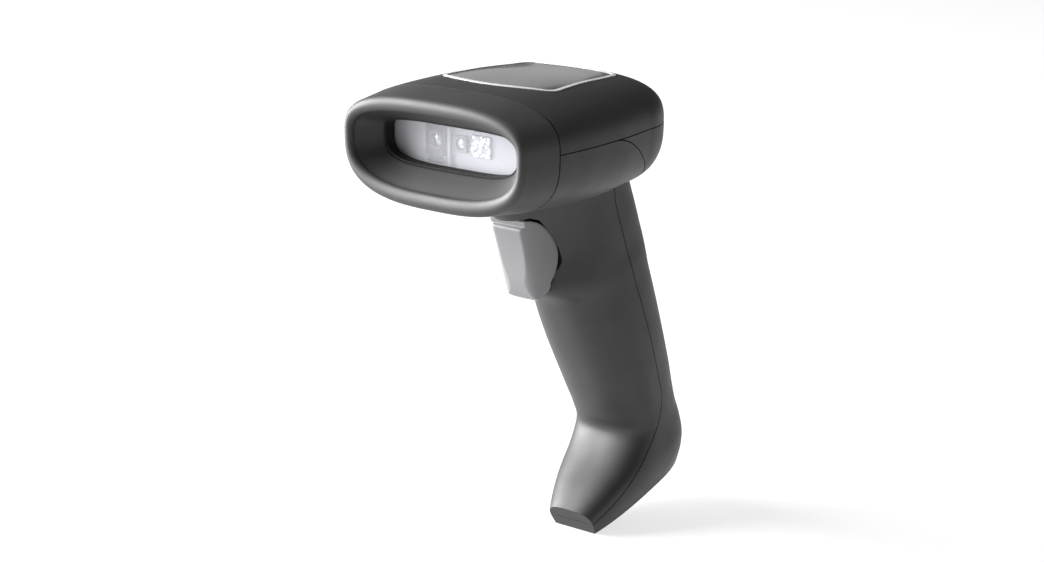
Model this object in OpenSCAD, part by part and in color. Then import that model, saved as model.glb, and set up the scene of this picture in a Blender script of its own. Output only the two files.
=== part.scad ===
// Handheld barcode scanner: a wide oval head on a raked grip with a flared toe.
// The shape is laid out with y = 0 at the front rim of the head, rising to the rear,
// and z = 0 at the long side seam. Grip places are given as depth v down the grip
// and reach q forward of its axis. The whole is then moved so that the toe rests on z = 0.

/* [Head] */
// Length of the head from the front rim to the back
head_len = 90.4; // [88:0.2:94]
// Distance from the rim at which the head starts to round off to the back
cap_y = 62; // [60:0.5:64]
// Wall thickness of all shells
wall = 2.2; // [1.8:0.1:2.4]
// Gap left at the seams between shells
seam_gap = 0.24; // [0.16:0.02:0.3]

/* [Nose] */
// Depth of the bezel ring, rim to seam
ring_y = 14.2; // [13.6:0.1:15]
// Half width of the scan opening
opening_half = 32.4; // [31:0.1:32.6]
// Half width of the visible window
window_half = 26; // [24:0.5:26.5]
// Thickness of the scan window
window_t = 1.5; // [1:0.1:1.6]

/* [Grip] */
// Rearward rake of the grip
lean = 18.2; // [16:0.2:20]
// Distance from the rim to the grip axis at seam level
grip_y = 60; // [58:0.5:61]
// Depth of the flat sole along the grip axis
sole_v = 138.2; // [136:0.2:140]
// Reach of the toe at the sole
toe_q = 33.7; // [32:0.1:35]
// Slope of the small toe face against the grip axis
toe_slope = 10.3; // [8:0.1:12]

/* [Trigger] */
// Width of the trigger
trigger_w = 18; // [15:0.5:18]
// Radius of the round cheek of the trigger
cheek_r = 10.4; // [10:0.1:10.6]
// Full travel of the trigger
trigger_travel = 2.4; // [1:0.1:2.4]
// Diameter of the trigger pin
pin_d = 2; // [1.6:0.1:2.4]

/* [Optics] */
// Distance of the camera axis from the centre plane
camera_x = -11; // [-12:0.5:-10]
// Distance of the illumination lens from the centre plane
lamp_x = 6.8; // [6:0.2:8]
// Height of the optical axes above the side seam
optic_z = -2; // [-2.5:0.1:-1.5]
// Diameter of the lens barrel
barrel_d = 6; // [5:0.1:6.2]

/* [Label] */
// Half width of the label plate at its front
label_half = 22.3; // [20:0.1:23]
// Width of the light ring round the label plate
light_w = 1.2; // [0.8:0.1:1.6]

/* [Hidden] */
$fn = 48;

// Stations of the head: distance from the rim, half width, height above and depth below the seam
head_rows = [[0, 33.5, 12, 18], [2.5, 36, 13.6, 20.4], [8, 37.3, 14.3, 21.2], [16, 38.4, 15, 21.6],
             [30, 38.8, 15.5, 22.2], [46, 38, 15.6, 22.8], [62, 35.7, 14.9, 21.8]];
head_power = 2.9;      // squareness of the head's cross section
cap_power = 1.9;       // squareness of the round back in plan
heel_reach = 19.6;     // reach of the heel at the sole
// Stations of the grip: depth, reach forward, reach back, half width, squareness of the back and of the front
grip_rows = [[8, 36, 17.6, 16.2, 2.4, 2.2], [18, 34.5, 17.8, 16.3, 2.5, 2.1],
             [24, 31.5, 17.9, 16.4, 2.6, 2.1], [30, 28, 18, 16.4, 2.7, 2.1],
             [38, 26, 18.2, 16.5, 2.8, 2.1], [44, 27, 18.4, 16.6, 2.8, 2.2],
             [48.5, 27.6, 18.6, 16.7, 2.8, 2.3], [52, 25.5, 18.8, 16.9, 2.7, 2.4], [56, 22, 19, 17, 2.6, 2.4],
             [60, 20.2, 19.1, 17.1, 2.5, 2.4], [68, 19, 19.6, 17.4, 2.4, 2.4], [80, 17, 20.2, 17.6, 2.3, 2.3],
             [98, 13, 20.8, 16.9, 2.3, 2.3], [108, 10.8, 20.6, 16.4, 2.3, 2.3],
             [114, 10.6, 20.2, 16.2, 2.4, 2.4], [120, 18, 19.8, 16.2, 2.7, 2.7],
             [126, 29.5, 19.4, 16, 2.8, 2.8], [132, 39, 19.4, 14.4, 2.6, 2.6],
             [sole_v, 44, heel_reach, 11.6, 2.3, 2.3]];
flare_top = 12;        // depth at which the neck starts under the head
flare_end = 26;        // depth at which the neck has run out into the grip
flare_r = 2;           // spread of the neck at its top
sides = 36;            // points round one cross section
eps = 0.01;
big = 200;

// Seam between front shell and rear cover
branch_y = 41;         // where it leaves the side seam
neck = [29, -0.8];     // depth and reach where it meets the grip
seam_low = [104, -4.3];
seam_toe = [134.5, 36];

// Trigger layout, as depth and reach
pivot = [10, 28];
cheek = [33.8, 32.2];
neck_v = 19.1;         // depth where the pocket starts in front of the trigger
lip = [50, 29];        // thickened place under the trigger
lip_r = 7.5;
cheek_t = 2.2;         // thickness of one cheek
tongue_v = 49.5;       // depth of the trigger's lower end
tongue_q = 34.2;       // furthest reach of its front
low_r = 7;             // radius of its lower corners
edge_r = 4.5;          // radius of its front edges
cheek_gap = 0.5;       // side clearance of the trigger
arm_w = 8;
stem_w = 5;
slot_gap = 0.6;        // side clearance of the arm and the stem
stem = [36, 14.25];    // centre depth and tip of the stem that works the switch
plunger_tip = 14.05;
spring_v = 43;
spring_d = 4.4;
spring_wire = 0.45;
spring_seat = 21.4;
spring_end = 29.5;
run = 0.05;            // running clearance of a pin or plunger, on the radius

// Window stack, distances from the rim
gasket_y = 12.1;
gasket_t = 1;
window_top = 4.4;
window_low = 9;
pane_lip = 2.4;        // how far the pane reaches beyond its visible edge

// Optics and boards
plate_y = 16;
plate_t = 1.6;
sensor_y = 33;
board_t = 1.2;
board_z = -3;
board_y0 = 38;
board_y1 = 76;
board_half = 25;
grip_board_q = 2.2;
cable_t = 0.3;
cable_w = 10;
switch_top = 9;
boss_spots = [[-21, 40.5], [21, 40.5], [-21, 66], [21, 66]];
chassis_spots = [[-27, 36.6], [27, 36.6]];
top_screw_spots = [[-17, 52], [17, 52]];
top_screw_seat = 11.6;
label_front = 24.3;    // front, start of the taper and back of the label plate, from the rim
label_side = 38;
label_back = 69.5;
label_bow = 42;        // radius of its bowed front
label_taper = 3.6;     // by how much each flank runs in to the back
label_r = 4.5;         // radius of its corners
label_bed = 1.1;       // depth of the bed, the ring and the plate
ring_t = 1;
label_t = 0.8;
lamp_spot = [20.2, 46.5];   // status lamp and the leg of the light ring above it
grip_screw_v = [66, 104];
carrier_x = 11.5;       // place and height of the trigger carrier's screwed feet
carrier_y = 36.5;
carrier_foot_z = -19.4;
foot_t = 1.6;
jack_q = 8;            // reach of the socket's centre
jack_size = [14.4, 11.6, 18];
jack_mouth = [12, 8.4];

// Overall placing
lift = sole_v * cos(lean) + toe_q * sin(lean);
rear_y = grip_y + sole_v * sin(lean) + heel_reach * cos(lean);
centre_y = rear_y / 2;

// ---------- curves ----------
function spow(v, p) = sign(v) * pow(abs(v), p);
// Closed oval: half width a, height t above and depth b below the middle, squareness n, and below_n below
function oval(a, t, b, n, below_n = 0) =
    [for (i = [0:sides - 1]) let (c = cos(360 * i / sides), s = sin(360 * i / sides),
                                  power = 2 / (s < 0 && below_n > 0 ? below_n : n))
        [a * spow(c, power), (s >= 0 ? t : b) * spow(s, power)]];
// Arc of radius r about [x, y] from angle a0 to a1
function arc(x, y, r, a0, a1, count) =
    [for (i = [0:count]) let (w = a0 + (a1 - a0) * i / count) [x + r * cos(w), y + r * sin(w)]];
// Curve from a to c that heads for b
function bend(a, b, c, count) =
    [for (i = [0:count]) let (s = i / count) a * pow(1 - s, 2) + b * 2 * s * (1 - s) + c * s * s];
// Smooth curve through column k of the rows
function slope(rows, k, i) = let (lo = max(i - 1, 0), hi = min(i + 1, len(rows) - 1))
    (rows[hi][k] - rows[lo][k]) / (rows[hi][0] - rows[lo][0]);
function span(rows, x, i = 0) = i >= len(rows) - 2 || x < rows[i + 1][0] ? i : span(rows, x, i + 1);
function smooth(rows, k, x) =
    let (i = span(rows, x), h = rows[i + 1][0] - rows[i][0], s = (x - rows[i][0]) / h)
    rows[i][k] * (2 * pow(s, 3) - 3 * s * s + 1) + slope(rows, k, i) * h * (pow(s, 3) - 2 * s * s + s)
    + rows[i + 1][k] * (3 * s * s - 2 * pow(s, 3)) + slope(rows, k, i + 1) * h * (pow(s, 3) - s * s);
// Side view place [y, z] of a grip place [v, q]
function grip_at(p) = [grip_y + p[0] * sin(lean) - p[1] * cos(lean), -p[0] * cos(lean) - p[1] * sin(lean)];

// Cross section of the head, shrunk by inset; turn runs 0 to 90 over the round back
function head_ring(y, turn, inset) =
    let (f = pow(cos(turn), 2 / cap_power), back = (head_len - inset - cap_y) * pow(sin(turn), 2 / cap_power))
    [for (p = oval(f * (smooth(head_rows, 1, y) - inset), f * (smooth(head_rows, 2, y) - inset),
                   f * (smooth(head_rows, 3, y) - inset), head_power)) [p[0], y + back, p[1]]];
// Cross section of the grip
function neck_spread(v) = v < flare_end ? flare_r * pow((flare_end - v) / (flare_end - flare_top), 2) : 0;
function grip_ring(v, inset) =
    let (more = neck_spread(v) - inset)
    [for (p = oval(smooth(grip_rows, 3, v) + more, smooth(grip_rows, 1, v) + more,
                   smooth(grip_rows, 2, v) + more, smooth(grip_rows, 5, v), smooth(grip_rows, 4, v)))
        [p[0], -p[1], -v]];

// ---------- helpers ----------
module placed() translate([0, -centre_y, lift]) children();
module in_grip() translate([0, grip_y, 0]) rotate([lean, 0, 0]) children();
// Outline in side view, made into a solid across the centre plane
module across(width) rotate([90, 0, 90]) linear_extrude(width, center = true) children();
// Outline in the x-z plane, made into a solid from y0 to y1
module along(y0, y1) translate([0, y1, 0]) rotate([90, 0, 0]) linear_extrude(y1 - y0) children();
module block(x, y, z) translate([x[0], y[0], z[0]]) cube([x[1] - x[0], y[1] - y[0], z[1] - z[0]]);
module ring_hull(a, b)
    hull() polyhedron(points = concat(a, b), faces = [for (i = [0:len(a) + len(b) - 3]) [i, i + 1, i + 2]]);
module loft(rings) for (i = [0:len(rings) - 2]) ring_hull(rings[i], rings[i + 1]);

head_stations = [0.8, 2.5, 8, 16, 23, 30, 38, 46, 54];
cap_turns = [0, 18, 34, 48, 60, 70, 80, 90];
grip_stations = [15, 18, 21, 24, 27, 30, 34, 38, 42, 46, 49, 51, 53, 55, 57, 60, 66, 73, 80, 89, 98, 108, 111,
                 114, 117, 120, 123, 126, 129, 132, 135];
module head_solid(inset, from = 0)
    loft(concat([for (y = concat([from], head_stations)) if (y >= from) head_ring(y, 0, inset)],
                [for (t = cap_turns) head_ring(cap_y, t, inset)]));
// Everything ahead of the toe face
function toe_plane_q(v) = toe_q + (sole_v - v) * tan(toe_slope);
module toe_cut(inset)
    across(big) polygon([for (p = [[sole_v + 20, toe_plane_q(sole_v + 20)], [100, toe_plane_q(100)],
                                   [100, 90], [sole_v + 20, 90]]) [-p[1] + inset, -p[0]]]);
module grip_solid(inset, top)
    difference() {
        loft([for (v = concat([top], grip_stations, [sole_v - inset])) grip_ring(v, inset)]);
        toe_cut(inset);
    }
module outer_skin() {
    head_solid(0);
    in_grip() grip_solid(0, flare_top);
}
module inner_space() {
    head_solid(wall, 8);
    in_grip() grip_solid(wall, 8);
}

// Region in side view ahead of or behind the seam of the two lower shells
seam_line = concat(bend([branch_y, 0], [54, 0], [69, -20], 10),
                   [grip_at(neck), grip_at([neck[0] + 5, neck[1]])],
                   [for (p = bend(seam_low, [120.5, -1], seam_toe, 10)) grip_at(p)]);
module front_region()
    offset(delta = -seam_gap / 2)
        polygon(concat([[ring_y, 0]], seam_line, [grip_at([seam_toe[0], 70]), [ring_y, -150]]));
module rear_region()
    offset(delta = -seam_gap / 2)
        polygon(concat([[big, 0]], seam_line, [grip_at([seam_toe[0], 70]), grip_at([170, 70]), [big, -big]]));
module top_region() offset(delta = -seam_gap / 2) polygon([[ring_y, 0], [big, 0], [big, 60], [ring_y, 60]]);

// Rounded outline of the label plate, shrunk by inset
module label_outline(inset)
    offset(r = label_r - inset) offset(delta = -label_r) intersection() {
        translate([0, label_front + label_bow]) circle(label_bow, $fn = 96);
        polygon([[-label_half, 20], [label_half, 20], [label_half, label_side],
                 [label_half - label_taper, label_back], [label_taper - label_half, label_back],
                 [-label_half, label_side]]);
    }
// Layer of the head's top surface under the label outline
module label_layer(inset, depth)
    intersection() {
        linear_extrude(40) label_outline(inset);
        difference() {
            head_solid(0, 16);
            translate([0, 0, -depth]) head_solid(0, 16);
        }
    }

module opening_cone() {
    ring_hull([for (p = oval(opening_half + 0.5, 9.4, 15.9, head_power)) [p[0], -eps, p[1]]],
              [for (p = oval(opening_half, 8.6, 15.1, head_power)) [p[0], 1.5, p[1]]]);
    ring_hull([for (p = oval(opening_half, 8.6, 15.1, head_power)) [p[0], 1.5, p[1]]],
              [for (p = oval(window_half + 1.6, 6, 10.6, 3)) [p[0], gasket_y, p[1]]]);
}
module screw(head_d, head_h, shank_d, length) {
    difference() {
        translate([0, 0, -head_h]) cylinder(d = head_d, h = head_h);
        // cross recess
        for (w = [0, 90]) rotate([0, 0, w]) translate([-head_d * 0.3, -head_d * 0.07, -head_h - eps])
            cube([head_d * 0.6, head_d * 0.14, head_h * 0.6]);
    }
    cylinder(d = shank_d, h = length);
}
// Thin strip that follows a side view curve
module strip(points, thick, width)
    across(width) polygon(concat(points, [for (i = [len(points) - 1:-1:0])
        let (a = points[max(i - 1, 0)], b = points[min(i + 1, len(points) - 1)], d = (b - a) / norm(b - a))
        points[i] + thick * [-d[1], d[0]]]));

// ---------- casing ----------
module nose_bezel() color([0.2, 0.2, 0.21]) placed() difference() {
    intersection() {
        head_solid(0);
        block([-60, 60], [-1, ring_y - seam_gap / 2], [-60, 60]);
    }
    opening_cone();
    along(gasket_y, 20)
        polygon(oval(window_half + pane_lip, window_top + pane_lip + 0.7, window_low + pane_lip + 0.7, 3));
    difference() {
        head_solid(wall, 4);
        along(0, 20)
            polygon(oval(window_half + pane_lip + 1.8, window_top + pane_lip + 2.5,
                         window_low + pane_lip + 2.5, 3));
        ring_hull([for (p = oval(opening_half + 1.6, 10.4, 16.9, head_power)) [p[0], 0, p[1]]],
                  [for (p = oval(window_half + 3.4, 8, 12.6, 3)) [p[0], gasket_y + 1, p[1]]]);
    }
}
module window_gasket() color([0.05, 0.05, 0.05]) placed() along(gasket_y, gasket_y + gasket_t) difference() {
    polygon(oval(window_half + pane_lip - 0.2, window_top + pane_lip, window_low + pane_lip, 3));
    polygon(oval(window_half, window_top, window_low, 3));
}
module scan_window() color([0.8, 0.82, 0.88, 0.5]) placed()
    along(gasket_y + gasket_t, gasket_y + gasket_t + window_t)
        polygon(oval(window_half + pane_lip - 0.2, window_top + pane_lip, window_low + pane_lip, 3));
module top_cover() color([0.23, 0.23, 0.24]) placed() difference() {
    union() {
        difference() {
            intersection() {
                head_solid(0);
                across(big) top_region();
            }
            head_solid(wall, 8);
        }
        for (p = top_screw_spots) translate([p[0], p[1], 8]) cylinder(d = 6.6, h = 6, $fn = 24);
    }
    for (p = top_screw_spots) translate([p[0], p[1], top_screw_seat]) {
        translate([0, 0, -6]) cylinder(d = 2.9, h = 8, $fn = 24);
        cylinder(d = 5.4, h = 8, $fn = 24);
    }
    label_layer(-0.1, label_bed);
    translate([lamp_spot[0], lamp_spot[1], 0]) cylinder(d = 2.4, h = 15, $fn = 24);
}
module label_plate() color([0.5, 0.5, 0.52]) placed() label_layer(light_w + 0.1, label_t);
module light_ring() color([0.85, 0.86, 0.87]) placed() {
    difference() {
        label_layer(0, ring_t);
        linear_extrude(60) label_outline(light_w);
    }
    intersection() {
        translate([lamp_spot[0], lamp_spot[1], 1]) cylinder(d = 2, h = 14, $fn = 24);
        translate([0, 0, -0.9]) head_solid(0, 16);
    }
}
module trigger_opening() {
    // room for the trigger's sweep, slot for the arm, slot for the stem and seat for the spring
    across(trigger_w + 2 * cheek_gap) {
        translate([-50, -46]) square([20, 46 - neck_v]);
        for (a = [0, trigger_travel / 2, trigger_travel], side = [trigger_side, cheek_side])
            translate([-pivot[1], -pivot[0]]) rotate(a) translate([pivot[1], pivot[0]])
                offset(delta = cheek_gap) polygon(side);
    }
    block([-arm_w / 2 - slot_gap, arm_w / 2 + slot_gap], [-32.4, -24.4], [-26, -2]);
    block([-stem_w / 2 - slot_gap, stem_w / 2 + slot_gap], [-24, -12], [-41, -31]);
    translate([0, -spring_seat, -spring_v]) rotate([90, 0, 0]) cylinder(d = spring_d + 0.8, h = 6, $fn = 24);
}
module trigger_pocket_wall()
    intersection() {
        grip_solid(0, flare_top);
        across(trigger_w + 2 * cheek_gap + 2 * wall) {
            offset(delta = cheek_gap + wall) polygon(cheek_side);
            translate([-lip[1], -lip[0]]) circle(lip_r);
        }
    }
module grip_boss(v, from, to, d)
    translate([0, -from, -v]) rotate([90, 0, 0]) cylinder(d = d, h = to - from, $fn = 24);
module floor_post(x, y, top, d) translate([x, y, -24]) cylinder(d = d, h = 24 + top, $fn = 24);
module front_shell() color([0.24, 0.24, 0.25]) placed() difference() {
    intersection() {
        union() {
            difference() {
                outer_skin();
                inner_space();
            }
            in_grip() trigger_pocket_wall();
            intersection() {
                outer_skin();
                union() {
                    for (p = boss_spots) floor_post(p[0], p[1], board_z, 5);
                    for (p = chassis_spots) floor_post(p[0], p[1], -12, 5);
                    for (p = top_screw_spots) floor_post(p[0], p[1], 7.7, 6);
                    for (s = [-1, 1]) floor_post(s * carrier_x, carrier_y, carrier_foot_z, 5);
                    in_grip() for (v = grip_screw_v) grip_boss(v, -6, 30, 6);
                }
            }
        }
        union() {
            across(big) front_region();
            for (p = top_screw_spots) floor_post(p[0], p[1], 7.7, 6);
        }
    }
    in_grip() {
        trigger_opening();
        for (v = grip_screw_v) grip_boss(v, -7, 5, 2.7);
    }
    for (p = boss_spots) translate([p[0], p[1], board_z - 6]) cylinder(d = 2.2, h = 8, $fn = 24);
    for (p = chassis_spots) translate([p[0], p[1], -16.4]) cylinder(d = 2.2, h = 8, $fn = 24);
    for (s = [-1, 1]) translate([s * carrier_x, carrier_y, -21.8]) cylinder(d = 1.8, h = 8, $fn = 24);
    for (p = top_screw_spots) translate([p[0], p[1], -4]) cylinder(d = 2.7, h = 20, $fn = 24);
}
module rear_cover() color([0.25, 0.25, 0.26]) placed() difference() {
    intersection() {
        union() {
            difference() {
                outer_skin();
                inner_space();
            }
            intersection() {
                outer_skin();
                in_grip() for (v = grip_screw_v) grip_boss(v, -25, -6.2, 7);
            }
        }
        across(big) rear_region();
    }
    in_grip() {
        for (v = grip_screw_v) {
            grip_boss(v, -30, 0, 2.9);
            grip_boss(v, -30, -14, 5.4);
        }
        translate([0, -jack_q, -sole_v]) cube([jack_size[0] + 0.4, jack_size[1] + 0.4, 12], center = true);
        // pinhole for the tool that frees the cable's latch
        translate([0, -jack_q - 9, -sole_v - 3]) cylinder(d = 2, h = 9, $fn = 24);
    }
}

// ---------- trigger ----------
// Side outline of the thumb-wide front tongue, from its rear down, round its lower end and up
trigger_side = concat([[-28.2, -44]], arc(-30.9, 2.7 - tongue_v, 2.7, 0, -110, 8),
    [[-33.4, -47.6], [-34, -45], [-34.1, -41], [-33.7, -35], [-33.4, -29]],
    arc(-32, -23.4, 1.4, 180, 90, 4), [[-28.2, -22]]);
// Side outline of a cheek, from its lowest place round its rear and up to its front corner
cheek_side = concat(arc(-cheek[1], -cheek[0], cheek_r, -90, 30, 16),
    [[-24.6, -25.2], [-28.2, -21.8], [-30.6, -20], [-31.6, -19.8], [-32.2, -20.6]]);
module trigger() color([0.5, 0.5, 0.51]) placed() in_grip() difference() {
    union() {
        intersection() {
            union() {
                across(trigger_w) polygon(trigger_side);
                // two round cheeks, hollow between
                for (s = [-1, 1]) translate([s * (trigger_w - cheek_t) / 2, 0, 0])
                    across(cheek_t) polygon(cheek_side);
            }
            // round lower corners, seen from the front
            along(-45, 0) polygon(concat([[-trigger_w / 2, 0], [trigger_w / 2, 0]],
                arc(trigger_w / 2 - low_r, low_r - tongue_v, low_r, 0, -90, 8),
                arc(low_r - trigger_w / 2, low_r - tongue_v, low_r, -90, -180, 8)));
            // round front edges, seen from above
            translate([0, 0, -60]) linear_extrude(60) polygon(concat([[-trigger_w / 2, 0]],
                arc(edge_r - trigger_w / 2, edge_r - tongue_q, edge_r, 180, 270, 6),
                arc(trigger_w / 2 - edge_r, edge_r - tongue_q, edge_r, 270, 360, 6), [[trigger_w / 2, 0]]));
        }
        block([-arm_w / 2, arm_w / 2], [-pivot[1] - 2.6, -pivot[1] + 2.6], [-26, -pivot[0]]);
        across(arm_w) translate([-pivot[1], -pivot[0]]) circle(3);
        block([-stem_w / 2, stem_w / 2], [-30, -stem[1]], [-stem[0] - 2, -stem[0] + 2]);
    }
    across(arm_w + 2) translate([-pivot[1], -pivot[0]]) circle(pin_d / 2 + run);
    translate([0, -spring_end, -spring_v]) rotate([-90, 0, 0]) cylinder(d = spring_d + 1.2, h = 12);
}
module trigger_pin() color([0.75, 0.75, 0.77]) placed() in_grip()
    across(17) translate([-pivot[1], -pivot[0]]) circle(pin_d / 2);
module trigger_carrier() color([0.1, 0.1, 0.1]) placed() difference() {
    // inverted yoke over the arm, with a screwed foot on each side
    union() {
        for (s = [-1, 1]) {
            translate([s * 7.1, carrier_y, carrier_foot_z + 2.8]) cube([2.6, 7, 5.6], center = true);
            translate([s * 11, carrier_y, carrier_foot_z + foot_t / 2]) cube([6, 6, foot_t], center = true);
        }
        block([-8.4, 8.4], [33, 40], [-13.9, -12.6]);
    }
    in_grip() across(20) translate([-pivot[1], -pivot[0]]) circle(pin_d / 2);
    for (s = [-1, 1]) translate([s * carrier_x, carrier_y, -22]) cylinder(d = 2, h = 5);
}
module trigger_spring() color([0.8, 0.8, 0.82]) placed() in_grip()
    translate([0, -spring_seat, -spring_v]) rotate([90, 0, 0])
        spring_coil((spring_d - spring_wire) / 2, spring_wire / 2, spring_end - spring_seat, 5);
// Helical spring of round wire along +z
module spring_coil(r, wire, length, turns) {
    steps = turns * 12;
    ring = 6;
    rise = length - 2 * wire;
    points = [for (i = [0:steps], j = [0:ring - 1]) let (w = 360 * turns * i / steps, c = 360 * j / ring,
                                                         reach = r + wire * cos(c))
        [reach * cos(w), reach * sin(w), wire + rise * i / steps + wire * sin(c)]];
    sides = [for (i = [0:steps - 1], j = [0:ring - 1])
        let (a = i * ring + j, b = i * ring + (j + 1) % ring) [a, b, b + ring, a + ring]];
    polyhedron(points = points, faces = concat(
        [for (f = sides) [f[0], f[1], f[2]]], [for (f = sides) [f[0], f[2], f[3]]],
        [[for (j = [ring - 1:-1:0]) j]], [[for (j = [0:ring - 1]) steps * ring + j]]));
}
module trigger_switch() color([0.12, 0.12, 0.13]) placed() in_grip() difference() {
    block([-4, 4], [-switch_top, -grip_board_q], [-stem[0] - 3.2, -stem[0] + 3.2]);
    translate([0, -switch_top - 1, -stem[0]]) rotate([-90, 0, 0]) cylinder(d = 3.2 + 2 * run, h = 5);
}
module switch_plunger() color([0.85, 0.2, 0.15]) placed() in_grip()
    translate([0, -plunger_tip, -stem[0]]) rotate([-90, 0, 0])
        cylinder(d = 3.2, h = plunger_tip - switch_top + 2.2);

// ---------- optics ----------
module optics_chassis() color([0.75, 0.75, 0.8]) placed() difference() {
    union() {
        block([-29, 29], [plate_y, plate_y + plate_t], [-12, 9]);
        for (s = [-1, 1]) translate([s * 28.2 - 0.8, plate_y, -12]) cube([1.6, sensor_y - plate_y, 21]);
        block([-29, 29], [plate_y, sensor_y], [-12, -10.4]);
        block([-5.9, -5], [plate_y - 1.2, plate_y + 1], [-10, 8.4]);
        for (p = chassis_spots) translate([p[0] - 3.2, sensor_y - 1, -12]) cube([6.4, 7.5, 2]);
        for (s = [-1, 1]) translate([s * 20, plate_y + 1, 4]) rotate([-90, 0, 0])
            cylinder(d = 4, h = sensor_y - plate_y - 1);
    }
    translate([camera_x, plate_y, optic_z]) cube([7.8, 12, 9.8], center = true);
    translate([-1, plate_y, optic_z]) cube([5, 12, 5.4], center = true);
    translate([lamp_x, plate_y, optic_z]) cube([7.8, 12, 7], center = true);
    for (p = chassis_spots) translate([p[0], p[1], -14]) cylinder(d = 2.4, h = 6);
}
module camera_housing() color([0.1, 0.1, 0.12]) placed() difference() {
    union() {
        translate([camera_x, 0, optic_z]) block([-3.6, 3.6], [plate_y - 1.4, sensor_y - 2], [-4.6, 4.6]);
        translate([camera_x, 0, optic_z]) block([-2.6, 2.6], [plate_y - 1.4, plate_y - 0.2], [-7, -4.5]);
    }
    translate([camera_x, plate_y - 3, optic_z]) rotate([-90, 0, 0]) cylinder(d = barrel_d + 0.1, h = 11);
    translate([camera_x, 0, optic_z]) block([-2.6, 2.6], [plate_y + 7, sensor_y], [-3.2, 3.2]);
}
module lens_barrel() color([0.06, 0.06, 0.07]) placed()
    translate([camera_x, plate_y - 1, optic_z]) rotate([-90, 0, 0]) difference() {
        cylinder(d = barrel_d, h = 8);
        translate([0, 0, -1]) cylinder(d = 3.4, h = 12);
        translate([0, 0, -eps]) cylinder(d1 = 4.8, d2 = 3.4, h = 1);
        translate([0, 0, 1]) cylinder(d = 4.2, h = 1.6);
    }
module camera_lens() color([0.6, 0.75, 0.9]) placed()
    translate([camera_x, plate_y, optic_z]) rotate([-90, 0, 0]) intersection() {
        cylinder(d = 4.2, h = 1.6);
        translate([0, 0, 4.9]) sphere(4.9);
    }
module image_sensor() color([0.25, 0.35, 0.3]) placed()
    translate([camera_x, 0, optic_z]) block([-2.5, 2.5], [sensor_y - 1, sensor_y], [-2.5, 2.5]);
module sensor_board() color([0.05, 0.3, 0.15]) placed() difference() {
    block([-25, 25], [sensor_y, sensor_y + board_t], [-9, 8]);
    for (s = [-1, 1]) translate([s * 20, sensor_y - 1, 4]) rotate([-90, 0, 0]) cylinder(d = 2.2, h = 4);
}
module aimer_holder() color([0.15, 0.15, 0.17]) placed() difference() {
    translate([-1, 0, optic_z]) block([-2.3, 2.3], [plate_y - 1.2, plate_y + 8], [-2.5, 2.5]);
    translate([-1, plate_y - 2, optic_z]) rotate([-90, 0, 0]) cylinder(d = 3.4, h = 12);
}
module aimer_lens() color([0.8, 0.85, 0.9]) placed()
    translate([-1, plate_y - 0.8, optic_z]) rotate([-90, 0, 0]) intersection() {
        cylinder(d = 3.4, h = 1.6);
        translate([0, 0, 3.4]) sphere(3.4);
    }
module aimer_lamp() color([0.4, 0.9, 0.4]) placed() translate([-1, 0, optic_z])
    block([-1, 1], [plate_y + 8.2, plate_y + 9], [-1, 1]);
module illumination_lens() color([0.85, 0.88, 0.9]) placed() union() {
    translate([lamp_x, 0, optic_z]) block([-3.7, 3.7], [plate_y - 0.8, plate_y + 1], [-3.2, 3.2]);
    translate([lamp_x, plate_y + 0.8, optic_z]) rotate([-90, 0, 0]) cylinder(d1 = 6, d2 = 3, h = 5.2);
}
module illumination_lamp() color([0.95, 0.95, 0.8]) placed() translate([lamp_x, 0, optic_z])
    block([-1.6, 1.6], [plate_y + 8, plate_y + 9], [-1.4, 1.4]);
module lamp_board() color([0.05, 0.3, 0.15]) placed()
    block([-5, 13], [plate_y + 9, plate_y + 9 + board_t], [-9, 5]);

// ---------- boards ----------
module main_board() color([0.05, 0.35, 0.18]) placed() difference() {
    block([-board_half, board_half], [board_y0, board_y1], [board_z, board_z + board_t]);
    for (p = boss_spots) translate([p[0], p[1], board_z - 1]) cylinder(d = 2.4, h = 4);
    for (p = top_screw_spots) translate([p[0], p[1], board_z - 1]) cylinder(d = 7, h = 4);
}
module processor() color([0.1, 0.1, 0.11]) placed() translate([-2, 50, board_z + board_t]) union() {
    block([-6, 6], [-6, 6], [0.2, 1.6]);
    for (i = [-2:2], j = [-2:2]) translate([i * 2.2, j * 2.2, 0]) cylinder(d = 0.8, h = 0.2);
}
module memory_chip() color([0.1, 0.1, 0.11]) placed() translate([13, 60, board_z + board_t]) union() {
    block([-5, 5], [-3.5, 3.5], [0.3, 1.4]);
    for (s = [-1, 1], i = [-4:4]) translate([i - 0.2, s * 3.9 - 0.6, 0]) cube([0.4, 1.2, 0.5]);
}
module beeper() color([0.08, 0.08, 0.09]) placed() translate([-12, 64, board_z + board_t]) difference() {
    cylinder(d = 11, h = 5.4);
    translate([0, 0, 4]) cylinder(d = 2.2, h = 4);
}
module status_lamp() color([0.9, 0.9, 0.85]) placed()
    translate([lamp_spot[0], lamp_spot[1], board_z + board_t]) block([-1.5, 1.5], [-1.2, 1.2], [0, 1.6]);
module flat_cable_socket() color([0.9, 0.88, 0.8]) placed() {
    block([-7, 7], [60, 63.6], [board_z - 2, board_z]);
    translate([0, 0, board_z + board_t]) block([-7, 7], [39, 42.4], [0, 2]);
    in_grip() block([-6.5, 6.5], [-grip_board_q - 2, -grip_board_q], [-32.6, -30.2]);
}
module grip_cable() color([0.85, 0.85, 0.85]) placed()
    strip(bend([61.8, board_z - 2], [61.8, -15.7], [66.4, -29.6], 12), cable_t, cable_w);
module sensor_cable() color([0.85, 0.85, 0.85]) placed()
    strip(concat(arc(36.3, 4, 1.8, 180, 90, 6), arc(36.6, 3.3, 2.5, 90, 0, 8), [[39.1, 0.2]]),
          cable_t, cable_w);
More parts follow.
